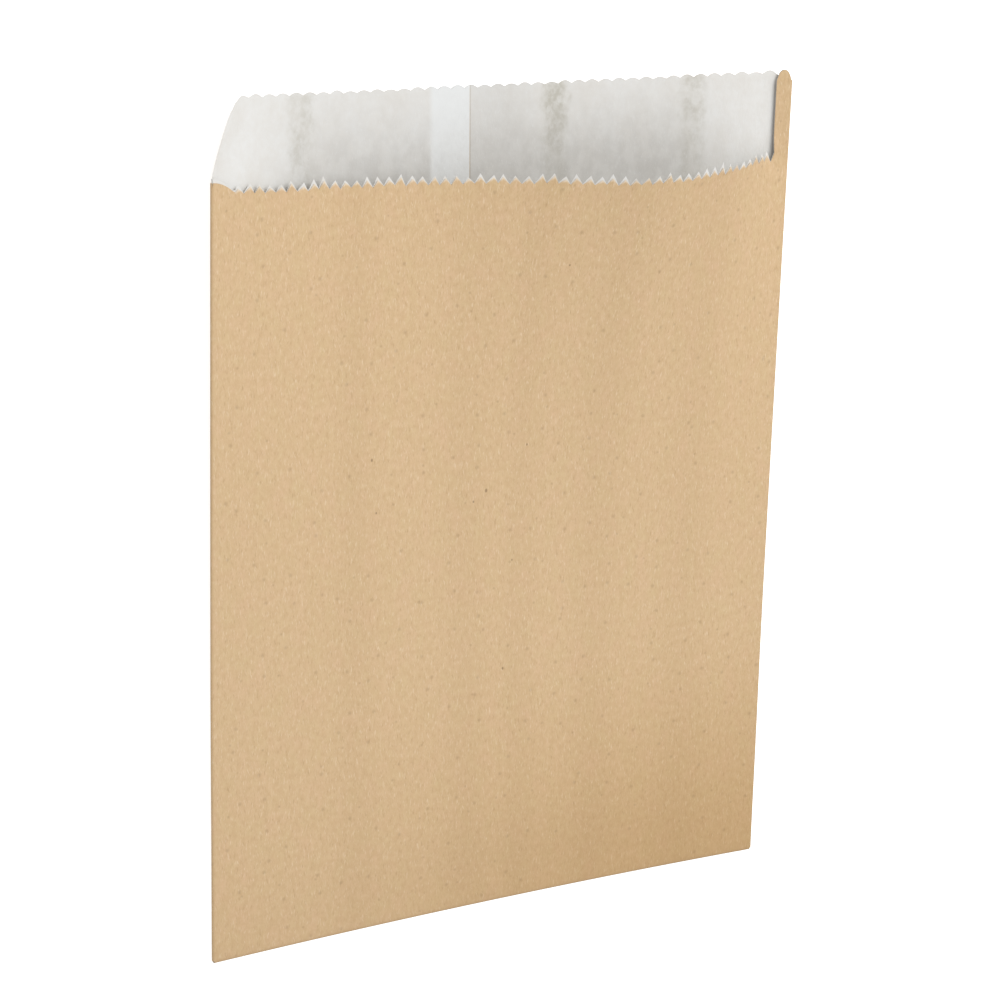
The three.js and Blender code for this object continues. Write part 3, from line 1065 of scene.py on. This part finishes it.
def painted_lip_shade(tree, run, lap, blots):
    """Painted shade: the back's liner greys towards the lip, most in the middle, and less on the lap."""
    x, y, _ = split(tree, add_node(tree, "TexCoord").outputs["Object"])
    middle = ramp(tree, calculate(tree, "ABSOLUTE", x), lip_shade_edge, lip_shade_core)
    heights = (back_height - middle_y, lip_root - middle_y)
    low = ramp(tree, y, *heights, lip_shade_at_back_edge, lip_shade_at_lip)
    lip_shade = calculate(tree, "MULTIPLY", middle, low)
    for share in (
        ramp(tree, lap, 0.0, 1.0, 1.0, lap_lip_shade_share),
        ramp(tree, blots, 0.0, 1.0, lip_shade_between_blots, 1.0),
        ramp(tree, distance(tree, run, on_front(0)), fold_x, fold_x + fold_length),
    ):
        lip_shade = calculate(tree, "MULTIPLY", lip_shade, share)
    return lip_shade


def add_liner_lines(tree, place, run, along, colour):
    centre = on_end_wall(lap_right + band_offset)
    feeds = {"centre": centre, "half_width": 0.010, "softness": 0.006}
    band = use_group(tree, stripe, place=place, wander=0.006, **feeds)["stripe"]
    colour = tint(tree, colour, band, beside_lap_share, liner_grey)
    centre = on_end_wall(lap_right + line_offset)
    feeds = {"centre": centre, "half_width": 0.00035, "softness": 0.00015}
    line = use_group(tree, stripe, place=place, wander=0.0, **feeds)["stripe"]
    lower = ramp(tree, along, blank_height(back_height), blank_height(lip_height), *line_shares)
    colour = tint(tree, colour, line, lower, lap_shadow)
    # Painted shadow on the liner in the right fold, beside the ear
    from_fold = distance(tree, run, right_fold_run)
    fold_shadow = ramp(tree, from_fold, *fold_shadow_ends, 0.0, fold_shadow_share)
    return blend_colour(tree, fold_shadow, colour, liner_fold_shadow)


# %% Greaseproof material
def make_liner(piece):
    tree, place, paper = start_material("white greaseproof paper", piece)
    wide = use_group(tree, clouds, place=place, size=0.010, stretch=1.5, seed=3.0)["cloud"]
    small = use_group(tree, clouds, place=place, size=0.0016, stretch=1.2, seed=6.0)["cloud"]
    blots = use_group(tree, clouds, place=place, size=0.004, stretch=1.3, seed=21.0)["cloud"]
    colour = tint(tree, liner_colour, wide, wide_through_share, kraft_through)
    colour = tint(tree, colour, small, small_through_share, kraft_through)
    colour = add_glue(tree, place, colour, blots, small)
    run, along, _ = split(tree, place)
    lap = ramp(tree, run, lap_width + lap_soft, lap_width - lap_soft)
    colour = tint(tree, colour, lap, lap_share, liner_lap)
    # Painted shade: the liner greys towards the lip, deep in the mouth
    colour = blend_colour(tree, painted_lip_shade(tree, run, lap, blots), colour, liner_grey)
    colour = add_liner_lines(tree, place, run, along, colour)
    fine = use_group(tree, fibres, place=place, width=0.0003, length=0.0012, seed=9.0)
    colour = tint(tree, colour, fine["dark"], dark_fibre_share, kraft_through)
    colour = tint(tree, colour, fine["light"], light_fibre_share, liner_lap)
    tree.links.new(colour, paper.inputs["Base Color"])
    heights = [(fine["height"], 0.4), (wide, 0.8), (small, 0.3)]
    finish_paper(tree, paper, heights, smooth=0.42, rough=0.6, relief=0.08 * MM)
    print("liner nodes:", len(tree.nodes))


make_liner(liner_sheet)

# %% [markdown]
# ## Riding on the model
#
# Each sheet stands for its solid in the imported model, which stays behind for collision.

# %% Bodies, nodes and slots
def reach_past(piece, node):
    """How far a sheet stands past its solid, below and above, along each axis in millimetres."""
    low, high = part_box(node)
    own = np.array([v.co for v in piece.data.vertices])
    past = np.stack([np.array(low) - own.min(axis=0), own.max(axis=0) - np.array(high)], -1)
    return np.round(past / MM, 2).tolist()


for piece, node, slot in (
    (kraft_sheet, "kraft_outer", "kraft_paper"),
    (liner_sheet, "greaseproof_liner", "greaseproof_paper"),
):
    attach(piece, "root")
    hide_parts(node)
    print(piece.name, "past its solid in mm:", reach_past(piece, node))

# %% [markdown]
# ## Camera
#
# The camera looks down on the lying bag from the left and a little from the mouth's side, over four
# bag widths away, with a long lens, and is rolled so that the bag stands upright in the picture. A
# camera's own axes are right, up and backwards, so those three directions are the columns of its
# matrix.

# %% Camera
camera_place = Vector((-379.68, 186.88, 654.01)) * MM
aim = Vector((1.05, 1.32, 0)) * MM
picture_up = Vector((0.11394, 0.97121, -0.20923))
camera_data = bpy.data.cameras.new("camera")
camera_data.lens = 99.95
camera_data.sensor_width = 36
camera_data.clip_start = 0.01
camera = bpy.data.objects.new("camera", camera_data)
bpy.context.scene.collection.objects.link(camera)
backwards = (camera_place - aim).normalized()
right = picture_up.cross(backwards).normalized()
up = backwards.cross(right)
turned = Matrix((right, up, backwards)).transposed().to_4x4()
camera.matrix_world = Matrix.Translation(camera_place) @ turned
bpy.context.scene.camera = camera
print("camera is", round((camera_place - aim).length, 3), "m away")

# %% [markdown]
# ## Floor and light
#
# A pale floor and an even white world give the paper its own colour, and one large soft lamp from
# the mouth's side shapes the bulge and the side folds. For the camera, and for what mirrors or lets
# light through, the floor adds a glow that makes it white but keeps the bag's shadow. More light
# would make it white too, but it would bleach the paper.

# %% World
def white_for_view(tree):
    """One for camera, glossy and transmission rays, else nought."""
    path = add_node(tree, "LightPath").outputs
    seen = calculate(tree, "MAXIMUM", path["Is Camera Ray"], path["Is Glossy Ray"])
    return calculate(tree, "MAXIMUM", seen, path["Is Transmission Ray"])


sky_level = 0.66
world = bpy.data.worlds.new("studio")
bpy.context.scene.world = world
world.use_nodes = True
sky = world.node_tree.nodes["Background"]
sky.inputs["Color"].default_value = (1, 1, 1, 1)
strength = add_node(world.node_tree, "Mix", {0: white_for_view(world.node_tree), 2: sky_level, 3: 1.0})
world.node_tree.links.new(strength.outputs[0], sky.inputs["Strength"])

# %% Floor
floor_size = 3
floor_drop = 0.1 * MM
floor_glow = 0.75
floor_colour = (0.82, 0.82, 0.82, 1)
deselect_all()
bpy.ops.mesh.primitive_plane_add(size=floor_size, location=(0, 0, -floor_drop))
floor = bpy.context.object
floor.name = "floor"
floor_material = bpy.data.materials.new("pale floor")
floor_material.use_nodes = True
floor_tree = floor_material.node_tree
surface = floor_tree.nodes["Principled BSDF"]
surface.inputs["Base Color"].default_value = floor_colour
surface.inputs["Roughness"].default_value = 0.9
surface.inputs["Specular IOR Level"].default_value = 0
surface.inputs["Emission Color"].default_value = (1, 1, 1, 1)
glow = calculate(floor_tree, "MULTIPLY", white_for_view(floor_tree), floor_glow)
floor_tree.links.new(glow, surface.inputs["Emission Strength"])
floor.data.materials.append(floor_material)

# %% Lamp
key_direction = Vector((0.314, 0.718, 1.042)).normalized()
key_distance = 1.3
key_data = bpy.data.lights.new("soft key", "AREA")
key_data.shape = "DISK"
key_data.size = 0.9
key_data.energy = 8.5
key = bpy.data.objects.new("soft key", key_data)
bpy.context.scene.collection.objects.link(key)
key.location = key_direction * key_distance
key.rotation_mode = "QUATERNION"
key.rotation_quaternion = key_direction.to_track_quat("Z", "Y")
print("lamp is", key_distance, "m away and", key_data.size, "m across")

# %% View settings
bpy.context.scene.view_settings.view_transform = "Standard"
